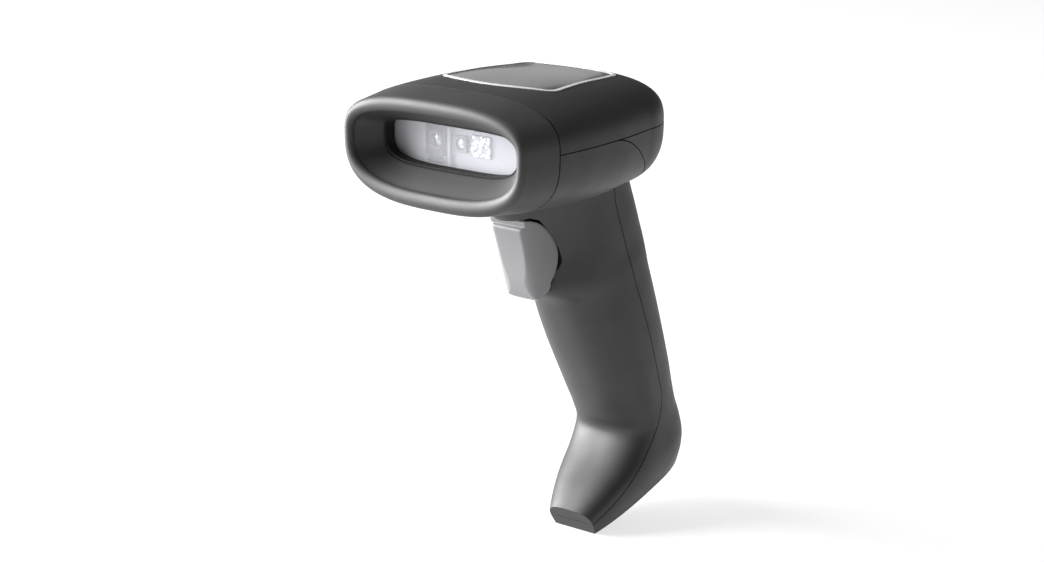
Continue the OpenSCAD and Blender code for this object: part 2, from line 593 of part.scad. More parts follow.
module grip_board() color([0.05, 0.35, 0.18]) placed() in_grip() difference() {
    block([-9, 9], [-grip_board_q, -grip_board_q + board_t], [-sole_v + 4, -30]);
    for (v = grip_screw_v) translate([0, 1, -v]) rotate([90, 0, 0]) cylinder(d = 7.4, h = 6);
}
module cable_jack() color([0.08, 0.08, 0.08]) placed() in_grip() translate([0, -jack_q, -sole_v])
    difference() {
        translate([-jack_size[0] / 2, -jack_size[1] / 2, 0]) cube(jack_size);
        translate([-jack_mouth[0] / 2, -jack_mouth[1] / 2, -1]) cube([jack_mouth[0], jack_mouth[1], 16]);
        // notch for the cable's latch
        translate([-3, -jack_size[1] / 2 + 0.5, -1]) cube([6, 3, 16]);
    }
module jack_contacts() color([0.9, 0.75, 0.35]) placed() in_grip() translate([0, -jack_q, -sole_v])
    for (i = [-4.5:4.5]) translate([i - 0.2, jack_mouth[1] / 2 - 1.4, 3]) cube([0.4, 0.5, 12]);

// ---------- fasteners ----------
module housing_screws() color([0.55, 0.55, 0.57]) placed() {
    in_grip() for (v = grip_screw_v)
        translate([0, 14, -v]) rotate([90, 0, 0]) screw(5, 2, 2.5, 17);
    for (p = top_screw_spots)
        translate([p[0], p[1], top_screw_seat]) mirror([0, 0, 1]) screw(5, 1.8, 2.5, 14);
}
module chassis_screws() color([0.6, 0.6, 0.62]) placed()
    for (p = chassis_spots) translate([p[0], p[1], -10]) mirror([0, 0, 1]) screw(3.8, 1.3, 2, 6);
module board_screws() color([0.6, 0.6, 0.62]) placed() {
    for (p = boss_spots) translate([p[0], p[1], board_z + board_t]) mirror([0, 0, 1]) screw(3.8, 1.3, 2, 6);
    for (s = [-1, 1]) translate([s * 20, sensor_y + board_t, 4]) rotate([90, 0, 0]) screw(3.4, 1, 2, board_t);
}
module carrier_screws() color([0.6, 0.6, 0.62]) placed()
    for (s = [-1, 1]) translate([s * carrier_x, carrier_y, carrier_foot_z + foot_t]) mirror([0, 0, 1])
        screw(3.2, 1, 1.6, 3);

nose_bezel();
window_gasket();
scan_window();
top_cover();
label_plate();
light_ring();
front_shell();
rear_cover();
trigger();
trigger_pin();
trigger_carrier();
trigger_spring();
trigger_switch();
switch_plunger();
optics_chassis();
camera_housing();
lens_barrel();
camera_lens();
image_sensor();
sensor_board();
aimer_holder();
aimer_lens();
aimer_lamp();
illumination_lens();
illumination_lamp();
lamp_board();
main_board();
processor();
memory_chip();
beeper();
status_lamp();
flat_cable_socket();
grip_cable();
sensor_cable();
grip_board();
cable_jack();
jack_contacts();
housing_screws();
chassis_screws();
board_screws();
carrier_screws();
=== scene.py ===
"""Looks for the handheld barcode scanner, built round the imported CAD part.

Shapes are worked out in millimetres in the design frame of the part: y = 0 at the front rim of
the head and rising to the rear, z = 0 at the long side seam. Grip places are (v, q): depth down
the grip and reach forward of its axis. place() turns both into the row frame, in metres.
"""

import math

import bmesh
import bpy
from mathutils import Matrix, Vector


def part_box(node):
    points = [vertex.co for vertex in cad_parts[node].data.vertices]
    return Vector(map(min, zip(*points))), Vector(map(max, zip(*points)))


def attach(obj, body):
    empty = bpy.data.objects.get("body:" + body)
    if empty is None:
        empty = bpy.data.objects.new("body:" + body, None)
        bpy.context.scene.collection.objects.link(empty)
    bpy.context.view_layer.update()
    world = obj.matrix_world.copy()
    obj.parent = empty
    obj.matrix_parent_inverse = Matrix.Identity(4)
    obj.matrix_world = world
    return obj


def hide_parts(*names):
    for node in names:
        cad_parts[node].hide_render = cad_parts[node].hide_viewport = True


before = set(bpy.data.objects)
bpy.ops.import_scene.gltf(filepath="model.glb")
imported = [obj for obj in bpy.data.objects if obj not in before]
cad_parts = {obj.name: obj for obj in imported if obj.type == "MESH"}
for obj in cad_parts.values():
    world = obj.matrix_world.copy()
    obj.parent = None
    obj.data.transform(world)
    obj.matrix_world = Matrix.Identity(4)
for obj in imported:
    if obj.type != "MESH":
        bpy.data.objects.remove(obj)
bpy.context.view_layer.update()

# ---------- driving sizes, millimetres and degrees ----------
MM = 0.001
SIDES = 144                     # points round a cross section
HEAD_LEN = 90.4
CAP_Y = 62                      # where the rounded rear of the head starts
WALL = 2.2
SEAM = 0.32                     # seam gap between shells
RING_Y = 14.2                   # seam between the bezel and the shells
LEAN = math.radians(18.2)       # lean of the grip
GRIP_Y = 60                     # where the grip's axis crosses the seam plane
SOLE_V = 138.2
TOE_Q = 33.7
TOE_SLOPE = math.radians(10.3)
HEAD_POWER = 2.9                # squareness of the head seen from the front, and of its rear
CAP_POWER = 1.9
# distance from the rim, half width, height above and depth below the seam
HEAD_ROWS = [(0, 33.5, 12, 18), (2.5, 36, 13.6, 20.4), (8, 37.3, 14.3, 21.2), (16, 38.4, 15, 21.6),
             (30, 38.8, 15.5, 22.2), (46, 38, 15.6, 22.8), (62, 35.7, 14.9, 21.8)]
# depth, reach forward, reach back, half width, squareness of the back and of the front
GRIP_ROWS = [(8, 36, 17.6, 16.2, 2.4, 2.2), (18, 34.5, 17.8, 16.3, 2.5, 2.1),
             (24, 31.5, 17.9, 16.4, 2.6, 2.1), (30, 28, 18, 16.4, 2.7, 2.1),
             (38, 26, 18.2, 16.5, 2.8, 2.1), (44, 27, 18.4, 16.6, 2.8, 2.2),
             (48.5, 27.6, 18.6, 16.7, 2.8, 2.3), (52, 25.5, 18.8, 16.9, 2.7, 2.4),
             (56, 22, 19, 17, 2.6, 2.4), (60, 20.2, 19.1, 17.1, 2.5, 2.4),
             (68, 19, 19.6, 17.4, 2.4, 2.4), (80, 17, 20.2, 17.6, 2.3, 2.3),
             (98, 13, 20.8, 16.9, 2.3, 2.3), (108, 10.8, 20.6, 16.4, 2.3, 2.3),
             (114, 10.6, 20.2, 16.2, 2.4, 2.4), (120, 18, 19.8, 16.2, 2.7, 2.7),
             (126, 29.5, 19.4, 16, 2.8, 2.8), (132, 39, 19.4, 14.4, 2.6, 2.6),
             (SOLE_V, 44, 19.6, 11.6, 2.3, 2.3)]
FLARE_TOP, FLARE_END, FLARE_R = 12, 26, 2
# seam between front shell and rear cover, as curves of three places each
BRANCH_CURVE = ((41, 0), (54, 0), (69, -20))
NECK_SEAM = ((29, -0.8), (60, -1.9))
TOE_CURVE = ((104, -4.3), (120.5, -1), (134.5, 36))
RIM_Y = 2.5                     # how far back the rim's outer round reaches
MOUTH_Y = 1.9                   # how far back its inner round reaches
MOUTH = (32.4, 8.6, 15.1)       # half width, height above and depth below of the recess's mouth
GASKET_Y = 12.1
WINDOW = (26, 4.4, 9)           # half width, height above and depth below of the visible pane
WINDOW_POWER = 4
WINDOW_T = 1.5
PANE_LIP = 2.4                  # how far the pane reaches beyond its visible edge
PANE = (WINDOW[0] + PANE_LIP - 0.2, WINDOW[1] + PANE_LIP, WINDOW[2] + PANE_LIP)
PANE_POWER = 3
PANE_ROUND = 0.2                # round on the pane's edges
GASKET_LIP = 2.8                # reach of the gasket's black lip into the recess
RIM_STEPS, RECESS_STEPS = 24, 12
CREASE = 0.32                   # groove between the head and the neck of the grip
CREASE_DEPTH = 1.2
LABEL_HALF = 22.3
LABEL_TAPER = 3.6               # how much narrower each side is at the back
LABEL_BOW = 42                  # radius of the bowed front edge
LABEL_FRONT, LABEL_BACK = 24.3, 69.5
LABEL_R = 4.5
LABEL_BED = 1.1
LABEL_T = 0.8
LIGHT_W = 1.2
LIGHT_T = 0.95
LIGHT_RISE = 0.22               # height of the light ring above the cover
LAMP_SPOT = (20.2, 46.5)
LAMP_LEG_R = 1.2
TOP_SCREWS = [(-17, 52), (17, 52)]
TOP_SCREW_SEAT = 11.6
BOSS_Z, BOSS_R = (9, 13.2), 3.3
SCREW_SEAT_R, SCREW_HOLE_R = 2.7, 1.45
GRIP_SCREWS = [66, 104]
JACK_Q = 8
JACK_HALF = 7.4                 # half width of the cable socket's mouth
TRIGGER_HALF = 9
TRIGGER_PLAN_R = 7              # round of its front edges, seen from above
TRIGGER_LOW_R = 7.2             # round of its lower corners, seen from the front
TONGUE_V = 49.5                 # depth of its lower end
TONGUE_TOP = 22
TONGUE_BACK, TONGUE_FACE = 28.2, 33.4
TONGUE_LOW_R, TONGUE_TOP_R = 2.7, 1.4
ARM_HALF, STEM_HALF = 4, 2.5
SLOT_GAP = 0.6                  # clearance of their slots in the front shell
CHEEK = (33.8, 32.2, 10.4)      # depth, reach and radius of the round cheek
NECK_V = 19.1                   # depth where the pocket starts in front of the trigger
LIP = (50, 29, 7.5)
CHEEK_T = 2.6
CHEEK_GAP = 0.5
PIVOT = (10, 28)
PIVOT_BORE = 1.05
TRAVEL = math.radians(2.4)
VOXEL = 0.24                    # voxel and smoothing rounds that soften the trigger's edges
SMOOTH_ROUNDS = 9

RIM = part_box("nose_bezel")[0].y
SEAM_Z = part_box("top_cover")[0].z - 0.12 * MM


# ---------- curves ----------
def spow(value, power):
    return math.copysign(abs(value) ** power, value)


def oval(a, top, low, n, low_n=None, sides=SIDES):
    """Closed oval of half width a, with its own height and squareness above and below."""
    points = []
    for i in range(sides):
        turn = 2 * math.pi * i / sides
        c, s = math.cos(turn), math.sin(turn)
        power = 2 / (low_n if s < 0 and low_n else n)
        points.append((a * spow(c, power), (top if s >= 0 else low) * spow(s, power)))
    return points


def arc(x, y, r, start, end, count):
    turns = [math.radians(start + (end - start) * i / count) for i in range(count + 1)]
    return [(x + r * math.cos(t), y + r * math.sin(t)) for t in turns]


def bend(a, b, c, count):
    """Curve from a to c that heads for b."""
    return [tuple(p * (1 - s) ** 2 + q * 2 * s * (1 - s) + r * s * s for p, q, r in zip(a, b, c))
            for s in (i / count for i in range(count + 1))]


def slope(rows, k, i):
    """Slope of column k at row i, from its neighbours."""
    lo, hi = max(i - 1, 0), min(i + 1, len(rows) - 1)
    return (rows[hi][k] - rows[lo][k]) / (rows[hi][0] - rows[lo][0])


def smooth(rows, k, x):
    """Smooth curve through column k of the rows."""
    i = 0
    while i < len(rows) - 2 and x >= rows[i + 1][0]:
        i += 1
    h = rows[i + 1][0] - rows[i][0]
    s = (x - rows[i][0]) / h
    return (rows[i][k] * (2 * s ** 3 - 3 * s * s + 1) + slope(rows, k, i) * h * (s ** 3 - 2 * s * s + s)
            + rows[i + 1][k] * (3 * s * s - 2 * s ** 3) + slope(rows, k, i + 1) * h * (s ** 3 - s * s))


def steps(start, end, size):
    """Even places from start to end, about size apart."""
    count = max(1, round((end - start) / size))
    return [start + (end - start) * i / count for i in range(count + 1)]


def place(p):
    """Row-frame place, in metres, of a design place."""
    return (p[0] * MM, p[1] * MM + RIM, p[2] * MM + SEAM_Z)


def grip_at(v, q, x=0.0):
    """Design place of a grip place."""
    s, c = math.sin(LEAN), math.cos(LEAN)
    return (x, GRIP_Y + v * s - q * c, -v * c - q * s)


def sized(size, grow):
    """Window or mouth size, larger by grow all round."""
    return tuple(n + grow for n in size)


def between(a, b, share):
    return [p + (q - p) * share for p, q in zip(a, b)]


# ---------- meshes ----------
def make(name, points, faces):
    mesh = bpy.data.meshes.new(name)
    mesh.from_pydata([place(p) for p in points], [], faces)
    bm = bmesh.new()
    bm.from_mesh(mesh)
    bmesh.ops.remove_doubles(bm, verts=bm.verts, dist=1e-7)
    bmesh.ops.recalc_face_normals(bm, faces=bm.faces)
    bm.to_mesh(mesh)
    bm.free()
    obj = bpy.data.objects.new(name, mesh)
    bpy.context.scene.collection.objects.link(obj)
    return obj


def loft(name, rings, closed=False):
    """Solid through rings of equally many points; closed joins the last ring to the first."""
    count = len(rings[0])
    points = [p for ring in rings for p in ring]
    faces = []
    for i in range(len(rings) if closed else len(rings) - 1):
        a, b = i * count, (i + 1) % len(rings) * count
        faces += [(a + j, a + (j + 1) % count, b + (j + 1) % count, b + j) for j in range(count)]
    if not closed:
        faces.append(tuple(range(count)))
        faces.append(tuple(range((len(rings) - 1) * count, len(rings) * count)))
    return make(name, points, faces)


def prism(name, outline, x0, x1):
    """Outline in side view, as design (y, z), made into a solid from x0 to x1."""
    return loft(name, [[(x, y, z) for y, z in outline] for x in (x0, x1)])


def grip_prism(name, outline, half):
    """Outline in grip places, made into a solid across the centre plane."""
    return prism(name, [grip_at(v, q)[1:] for v, q in outline], -half, half)


def circle(spot, count=96):
    """Closed circle round a (v, q, radius) spot."""
    return arc(*spot, 0, 360 * (1 - 1 / count), count - 1)


def plate(name, outline, z0, z1):
    """Outline seen from above, made into a solid from z0 to z1."""
    return loft(name, [[(x, y, z) for x, y in outline] for z in (z0, z1)])


def box(name, x, y, z):
    return plate(name, [(x[0], y[0]), (x[1], y[0]), (x[1], y[1]), (x[0], y[1])], z[0], z[1])


def grip_rod(name, v, q0, q1, radius):
    """Rod on the centre plane, along the reach direction."""
    rings = [[grip_at(v + radius * math.cos(t), q, radius * math.sin(t))
              for t in (2 * math.pi * i / 32 for i in range(32))] for q in (q0, q1)]
    return loft(name, rings)


def combine(target, operation, *tools, keep=False):
    """Applies a boolean of each tool to the target, then removes the tools."""
    for tool in tools:
        modifier = target.modifiers.new("cut", "BOOLEAN")
        modifier.operation = operation
        modifier.solver = "MANIFOLD"
        modifier.object = tool
        graph = bpy.context.evaluated_depsgraph_get()
        result = bpy.data.meshes.new_from_object(target.evaluated_get(graph))
        target.modifiers.remove(modifier)
        target.data = result
        if not keep:
            bpy.data.objects.remove(tool)
    return target


def copy_of(obj, name):
    twin = obj.copy()
    twin.data = obj.data.copy()
    twin.name = name
    bpy.context.scene.collection.objects.link(twin)
    return twin


def soften(obj, angle=32):
    """Smooth shading, with edges sharper than the angle kept."""
    obj.data.shade_smooth()
    obj.data.set_sharp_from_angle(angle=math.radians(angle))
    normals = obj.modifiers.new("normals", "WEIGHTED_NORMAL")
    normals.keep_sharp = True
    return obj


def remesh(obj, voxel, rounds):
    """Voxel remesh and smoothing, which rounds every edge a little."""
    modifier = obj.modifiers.new("voxels", "REMESH")
    modifier.mode = "VOXEL"
    modifier.voxel_size = voxel * MM
    relax = obj.modifiers.new("relax", "SMOOTH")
    relax.factor = 0.5
    relax.iterations = rounds
    graph = bpy.context.evaluated_depsgraph_get()
    result = bpy.data.meshes.new_from_object(obj.evaluated_get(graph))
    obj.modifiers.clear()
    obj.data = result
    return obj


def dress(obj, node, slot, body="root"):
    """obj stands for a CAD node and takes the node's finish."""
    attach(obj, body)
    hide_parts(node)
    obj.data.materials.clear()
    obj.data.materials.append(FINISH[slot])
    return obj


# ---------- solids of the casing ----------
def head_ring(y, turn=0.0, inset=0.0):
    """Cross section of the head at y; turn runs over its rounded rear, from 0 to a quarter turn."""
    f = math.cos(turn) ** (2 / CAP_POWER)
    back = (HEAD_LEN - inset - CAP_Y) * math.sin(turn) ** (2 / CAP_POWER)
    a, top, low = (f * (smooth(HEAD_ROWS, k, y) - inset) for k in (1, 2, 3))
    return [(x, y + back, z) for x, z in oval(a, top, low, HEAD_POWER)]


def head_solid(name, inset=0.0, start=0.0):
    rings = [head_ring(y, 0, inset) for y in steps(start, CAP_Y, 2)]
    rings += [head_ring(CAP_Y, math.radians(t), inset) for t in steps(2.5, 87.5, 2.5) + [88.6, 89.4, 89.85]]
    return loft(name, rings)


def grip_ring(v, inset):
    """Cross section of the grip at depth v, flared where it meets the head."""
    spread = FLARE_R * ((FLARE_END - v) / (FLARE_END - FLARE_TOP)) ** 2 if v < FLARE_END else 0
    more = spread - inset
    front, back, half = (smooth(GRIP_ROWS, k, v) + more for k in (1, 2, 3))
    ring = oval(half, front, back, smooth(GRIP_ROWS, 5, v), smooth(GRIP_ROWS, 4, v))
    return [grip_at(v, q, x) for x, q in ring]


def grip_solid(name, inset, top):
    solid = loft(name, [grip_ring(v, inset) for v in steps(top, SOLE_V - inset, 1.2)])

    def toe_q(v):
        return TOE_Q - inset + (SOLE_V - v) * math.tan(TOE_SLOPE)

    below, above, ahead = SOLE_V + 20, 100, 90
    outline = [(below, toe_q(below)), (above, toe_q(above)), (above, ahead), (below, ahead)]
    return combine(solid, "DIFFERENCE", grip_prism("toe", outline, 60))


def seam_line(shift):
    """Seam between front shell and rear cover in side view, moved forward by shift."""
    line = bend(*BRANCH_CURVE, 24)
    line += [grip_at(*p)[1:] for p in NECK_SEAM]
    line += [grip_at(*p)[1:] for p in bend(*TOE_CURVE, 30)]
    moved = []
    for i, (y, z) in enumerate(line):
        a, b = line[max(i - 1, 0)], line[min(i + 1, len(line) - 1)]
        dy, dz = b[0] - a[0], b[1] - a[1]
        size = math.hypot(dy, dz)
        moved.append((y + shift * dz / size, z - shift * dy / size))
    return moved


def front_outline(shift):
    """Side outline of everything ahead of the seam."""
    end = grip_at(TOE_CURVE[-1][0], 70)[1:]
    return [(RING_Y + SEAM / 2, -shift)] + seam_line(shift) + [end, (RING_Y + SEAM / 2, -170)]


def label_outline(inset):
    """Label plate from above: bowed front, straight flanks, rounded corners."""
    r = LABEL_R - inset
    centre_y = LABEL_FRONT + LABEL_BOW
    front = math.asin((LABEL_HALF - LABEL_R) / (LABEL_BOW - LABEL_R))
    corner_y = centre_y - (LABEL_BOW - LABEL_R) * math.cos(front)
    turn = math.degrees(front)
    points = arc(0, centre_y, LABEL_BOW - inset, -90 - turn, -90 + turn, 20)
    points += arc(LABEL_HALF - LABEL_R, corner_y, r, -90 + turn, 3, 8)
    points += arc(LABEL_HALF - LABEL_TAPER - LABEL_R, LABEL_BACK - LABEL_R, r, 6, 90, 8)
    corners = points[21:]
    return points + [(-x, y) for x, y in reversed(corners)]


def label_layer(name, outline, depth, rise=0.0):
    """Layer that follows the head's top under an outline, from depth below it to rise above it."""
    layer = plate(name, outline, 0, 40)
    for operation, shift in (("INTERSECT", rise), ("DIFFERENCE", -depth)):
        moved = copy_of(head, "moved")
        moved.data.transform(Matrix.Translation((0, 0, shift * MM)))
        combine(layer, operation, moved)
    return layer


# ---------- materials ----------
class Finish:
    """A node material with object-space texture coordinates in millimetres."""

    def __init__(self, name, colour, rough, metal=0.0, ior=1.5):
        self.material = bpy.data.materials.new(name)
        self.material.use_nodes = True
        self.tree = self.material.node_tree
        self.shader = self.tree.nodes["Principled BSDF"]
        self.shader.inputs["Base Color"].default_value = (*colour, 1)
        self.shader.inputs["Roughness"].default_value = rough
        self.shader.inputs["Metallic"].default_value = metal
        self.shader.inputs["IOR"].default_value = ior
        self.colour, self.rough = colour, rough
        spot = self.node("ShaderNodeTexCoord").outputs["Object"]
        self.where = self.node("ShaderNodeVectorMath", operation="MULTIPLY")
        self.tree.links.new(spot, self.where.inputs[0])
        self.where.inputs[1].default_value = (1 / MM, 1 / MM, 1 / MM)

    def node(self, kind, **settings):
        made = self.tree.nodes.new(kind)
        for key, value in settings.items():
            setattr(made, key, value)
        return made

    def link(self, a, b):
        self.tree.links.new(a, b)

    def noise(self, size, stretch=(1, 1, 1)):
        """Noise with features about size millimetres across."""
        made = self.node("ShaderNodeTexNoise")
        made.inputs["Scale"].default_value = 1 / size
        made.inputs["Detail"].default_value = 3
        grow = self.node("ShaderNodeVectorMath", operation="MULTIPLY")
        grow.inputs[1].default_value = stretch
        self.link(self.where.outputs[0], grow.inputs[0])
        self.link(grow.outputs[0], made.inputs["Vector"])
        return made.outputs["Fac"]

    def span(self, value, low, high):
        """Noise value spread from low to high."""
        made = self.node("ShaderNodeMapRange")
        for key, number in (("From Min", 0.3), ("From Max", 0.7), ("To Min", low), ("To Max", high)):
            made.inputs[key].default_value = number
        self.link(value, made.inputs["Value"])
        return made.outputs["Result"]

    def vary_rough(self, size, spread, stretch=(1, 1, 1)):
        value = self.span(self.noise(size, stretch), self.rough - spread, self.rough + spread)
        self.link(value, self.shader.inputs["Roughness"])

    def vary_colour(self, size, other):
        """Drift of up to half way to another colour."""
        mix = self.node("ShaderNodeMix", data_type="RGBA")
        mix.inputs["A"].default_value = (*self.colour, 1)
        mix.inputs["B"].default_value = (*other, 1)
        self.link(self.span(self.noise(size), 0, 0.5), mix.inputs["Factor"])
        self.link(mix.outputs["Result"], self.shader.inputs["Base Color"])

    def grain(self, size, height, strength, stretch=(1, 1, 1), cells=False):
        """Bump of the given height in millimetres."""
        if cells:
            texture = self.node("ShaderNodeTexVoronoi", feature="SMOOTH_F1")
            texture.inputs["Scale"].default_value = 1 / size
            self.link(self.where.outputs[0], texture.inputs["Vector"])
            value = texture.outputs["Distance"]
        else:
            value = self.noise(size, stretch)
        bump = self.node("ShaderNodeBump")
        bump.inputs["Strength"].default_value = strength
        bump.inputs["Distance"].default_value = height * MM
        self.link(value, bump.inputs["Height"])
        self.link(bump.outputs["Normal"], self.shader.inputs["Normal"])


def moulded(name, colour, rough, grain=0.35, height=0.012, drift=None):
    """Moulded plastic: spark-eroded grain, faint handling shine and a slight drift of tone."""
    f = Finish(name, colour, rough)
    f.vary_rough(9, 0.035)
    f.vary_colour(14, drift or tuple(c * 1.12 for c in colour))
    f.grain(grain, height, 0.7, cells=True)
    return f.material


def metal(name, colour, rough, stretch=(1, 1, 12)):
    """Drawn or turned metal, with marks that run across the stretched axes."""
    f = Finish(name, colour, rough, metal=1.0)
    f.vary_rough(0.8, 0.08, stretch)
    f.vary_colour(2.5, tuple(c * 0.8 for c in colour))
    f.grain(0.25, 0.004, 0.5, stretch)
    return f.material


def glass(name, colour, alpha):
    """Thin clear pane: mostly see-through, with a pale colour at low alpha that paints a white veil of
    reflected surroundings, and a faint haze of handling marks in its roughness and bumps.
    """
    f = Finish(name, colour, 0.06, ior=1.52)
    f.vary_rough(7, 0.03, (1, 1, 3))
    # painted reflection: at this alpha the pale base colour lays a white veil over the parts behind the
    # pane
    f.shader.inputs["Alpha"].default_value = alpha
    f.grain(12, 0.004, 0.3)
    return f.material


def board(name):
    """Solder mask over copper traces."""
    f = Finish(name, (0.012, 0.10, 0.045), 0.32)
    bricks = f.node("ShaderNodeTexBrick")
    bricks.inputs["Scale"].default_value = 0.4
    bricks.inputs["Mortar Size"].default_value = 0.05
    bricks.inputs["Color1"].default_value = (0.010, 0.085, 0.040, 1)
    bricks.inputs["Color2"].default_value = (0.014, 0.105, 0.050, 1)
    bricks.inputs["Mortar"].default_value = (0.035, 0.20, 0.075, 1)
    f.link(f.where.outputs[0], bricks.inputs["Vector"])
    f.link(bricks.outputs["Color"], f.shader.inputs["Base Color"])
    f.vary_rough(3, 0.05)
    f.grain(1.1, 0.02, 0.5)
    return f.material


def label_gloss(name):
    """Glossy domed plate: smooth, with fine hairlines from wiping."""
    f = Finish(name, (0.050, 0.050, 0.052), 0.16)
    f.vary_colour(11, (0.060, 0.060, 0.064))
    f.vary_rough(0.7, 0.03, (1, 8, 1))
    f.grain(16, 0.02, 0.25)
    f.shader.inputs["Coat Weight"].default_value = 0.6
    f.shader.inputs["Coat Roughness"].default_value = 0.08
    return f.material


def light_guide(name):
    """Translucent polished strip."""
    f = Finish(name, (0.62, 0.63, 0.65), 0.24)
    f.vary_colour(3, (0.72, 0.73, 0.75))
    f.vary_rough(1.5, 0.05)
    f.grain(2.5, 0.006, 0.4)
    return f.material


def lens(name):
    """Faceted lens over a bright reflector, with an uneven glint."""
    f = Finish(name, (0.50, 0.51, 0.54), 0.2, metal=0.7, ior=1.49)
    f.vary_rough(1.2, 0.05)
    f.grain(1.3, 0.6, 1.0, cells=True)
    return f.material


FINISH = {
    "shell_plastic": moulded("shell_plastic", (0.019, 0.019, 0.0195), 0.52),
    "bezel_plastic": moulded("bezel_plastic", (0.028, 0.028, 0.0275), 0.54, 0.3, 0.010),
    "gasket_foam": moulded("gasket_foam", (0.004, 0.004, 0.004), 0.85, 0.5, 0.06, (0.008, 0.008, 0.008)),
    # pale colour at low alpha: a painted reflection of the white surroundings on the pane
    "window_glass": glass("window_glass", (0.80, 0.81, 0.86), 0.24),
    "label_gloss": label_gloss("label_gloss"),
    "light_guide": light_guide("light_guide"),
    "trigger_plastic": moulded("trigger_plastic", (0.165, 0.165, 0.171), 0.42, 0.3, 0.006),
    "steel": metal("steel", (0.60, 0.60, 0.62), 0.25),
    "spring_steel": metal("spring_steel", (0.66, 0.66, 0.68), 0.22),
    "black_nylon": moulded("black_nylon", (0.10, 0.10, 0.11), 0.42, 0.25, 0.008),
    "switch_red": moulded("switch_red", (0.45, 0.03, 0.02), 0.40),
    "chassis_plastic": moulded("chassis_plastic", (0.36, 0.36, 0.40), 0.50, 0.4, 0.010),
    "lens_glass": lens("lens_glass"),
    "circuit_board": board("circuit_board"),
    "chip_black": moulded("chip_black", (0.018, 0.018, 0.020), 0.50, 0.2, 0.010),
    "lamp_body": moulded("lamp_body", (0.78, 0.78, 0.66), 0.30),
    "socket_plastic": moulded("socket_plastic", (0.68, 0.64, 0.52), 0.42),
    "flat_cable": moulded("flat_cable", (0.66, 0.66, 0.66), 0.28, 0.8, 0.006),
    "gold_contact": metal("gold_contact", (0.80, 0.55, 0.18), 0.24),
    "screw_steel": metal("screw_steel", (0.22, 0.22, 0.24), 0.34, (6, 6, 1)),
}

# ---------- casing ----------
head = head_solid("head")
grip = grip_solid("grip", 0, FLARE_TOP)
skin = combine(copy_of(head, "skin"), "UNION", grip, keep=True)
inside = combine(head_solid("inside", WALL, 8), "UNION", grip_solid("grip_inside", WALL, 8))
shell = combine(copy_of(skin, "shell"), "DIFFERENCE", inside, keep=True)
crease = combine(head_solid("crease", -CREASE), "DIFFERENCE", copy_of(head, "within"),
                 grip_solid("core", CREASE_DEPTH, FLARE_TOP))
combine(shell, "DIFFERENCE", crease)


def level(sizes, power, y):
    """Oval at one depth behind the rim."""
    return [(x, y, z) for x, z in oval(*sizes, power)]


def bezel():
    """Front ring: outer skin, rounded rim, recess down to the window and the inner side."""
    edge = RING_Y - SEAM / 2
    rings = [head_ring(edge - 0.25, 0, WALL), head_ring(edge, 0, WALL - 0.2), head_ring(edge, 0, 0.12)]
    rings += [head_ring(y) for y in [edge - 0.12] + steps(edge - 0.6, RIM_Y, 0.8)]
    outer = [smooth(HEAD_ROWS, k, RIM_Y) for k in (1, 2, 3)]
    for i in range(1, RIM_STEPS):
        t = math.pi * i / RIM_STEPS
        share = (1 - math.cos(t)) / 2
        y = (RIM_Y if share < 0.5 else MOUTH_Y) * (1 - math.sin(t))
        rings.append(level(between(outer, MOUTH, share), HEAD_POWER, y))
    throat = sized(WINDOW, 0.45)
    lip_y = GASKET_Y - GASKET_LIP
    for i in range(RECESS_STEPS + 1):
        share = i / RECESS_STEPS
        power = HEAD_POWER + (WINDOW_POWER - HEAD_POWER) * share
        rings.append(level(between(MOUTH, throat, share), power, MOUTH_Y + (lip_y - MOUTH_Y) * share))
    seat = (WINDOW[0] + PANE_LIP, WINDOW[1] + PANE_LIP + 0.7, WINDOW[2] + PANE_LIP + 0.7)
    rings.append(level(throat, WINDOW_POWER, GASKET_Y))
    rings.append(level(seat, PANE_POWER, GASKET_Y))
    rings.append(level(seat, PANE_POWER, edge - 0.25))
    return soften(loft("bezel", rings, closed=True), 40)


def gasket():
    """Foam frame under the pane, with a black lip reaching forward into the recess."""
    outer = sized(WINDOW, 0.4)
    front, lip, back = GASKET_Y + 0.02, GASKET_Y - GASKET_LIP + 0.1, GASKET_Y + 1
    rings = [level(PANE, PANE_POWER, front), level(outer, WINDOW_POWER, front)]
    rings += [level(outer, WINDOW_POWER, lip), level(WINDOW, WINDOW_POWER, lip)]
    rings += [level(WINDOW, WINDOW_POWER, back), level(PANE, PANE_POWER, back)]
    return soften(loft("gasket", rings, closed=True), 40)


def pane():
    front = GASKET_Y + 1.01
    back = front + WINDOW_T
    small = sized(PANE, -PANE_ROUND)
    rings = [level(small, PANE_POWER, front), level(PANE, PANE_POWER, front + PANE_ROUND)]
    rings += [level(PANE, PANE_POWER, back - PANE_ROUND), level(small, PANE_POWER, back)]
    return soften(loft("pane", rings), 40)


def top_shell():
    piece = copy_of(shell, "top")
    combine(piece, "INTERSECT", box("above", (-60, 60), (RING_Y + SEAM / 2, 120), (SEAM / 2, 60)))
    for x, y in TOP_SCREWS:
        combine(piece, "UNION", rod("boss", x, y, *BOSS_Z, BOSS_R))
    combine(piece, "DIFFERENCE", label_layer("bed", label_outline(-0.08), LABEL_BED))
    for x, y in TOP_SCREWS:
        combine(piece, "DIFFERENCE", rod("seat", x, y, TOP_SCREW_SEAT, 20, SCREW_SEAT_R),
                rod("hole", x, y, 0, 20, SCREW_HOLE_R))
    combine(piece, "DIFFERENCE", rod("leg", *LAMP_SPOT, 0, 15, LAMP_LEG_R))
    return soften(piece)


def rod(name, x, y, z0, z1, radius):
    """Upright round bar."""
    turns = [2 * math.pi * i / 32 for i in range(32)]
    return plate(name, [(x + radius * math.cos(t), y + radius * math.sin(t)) for t in turns], z0, z1)


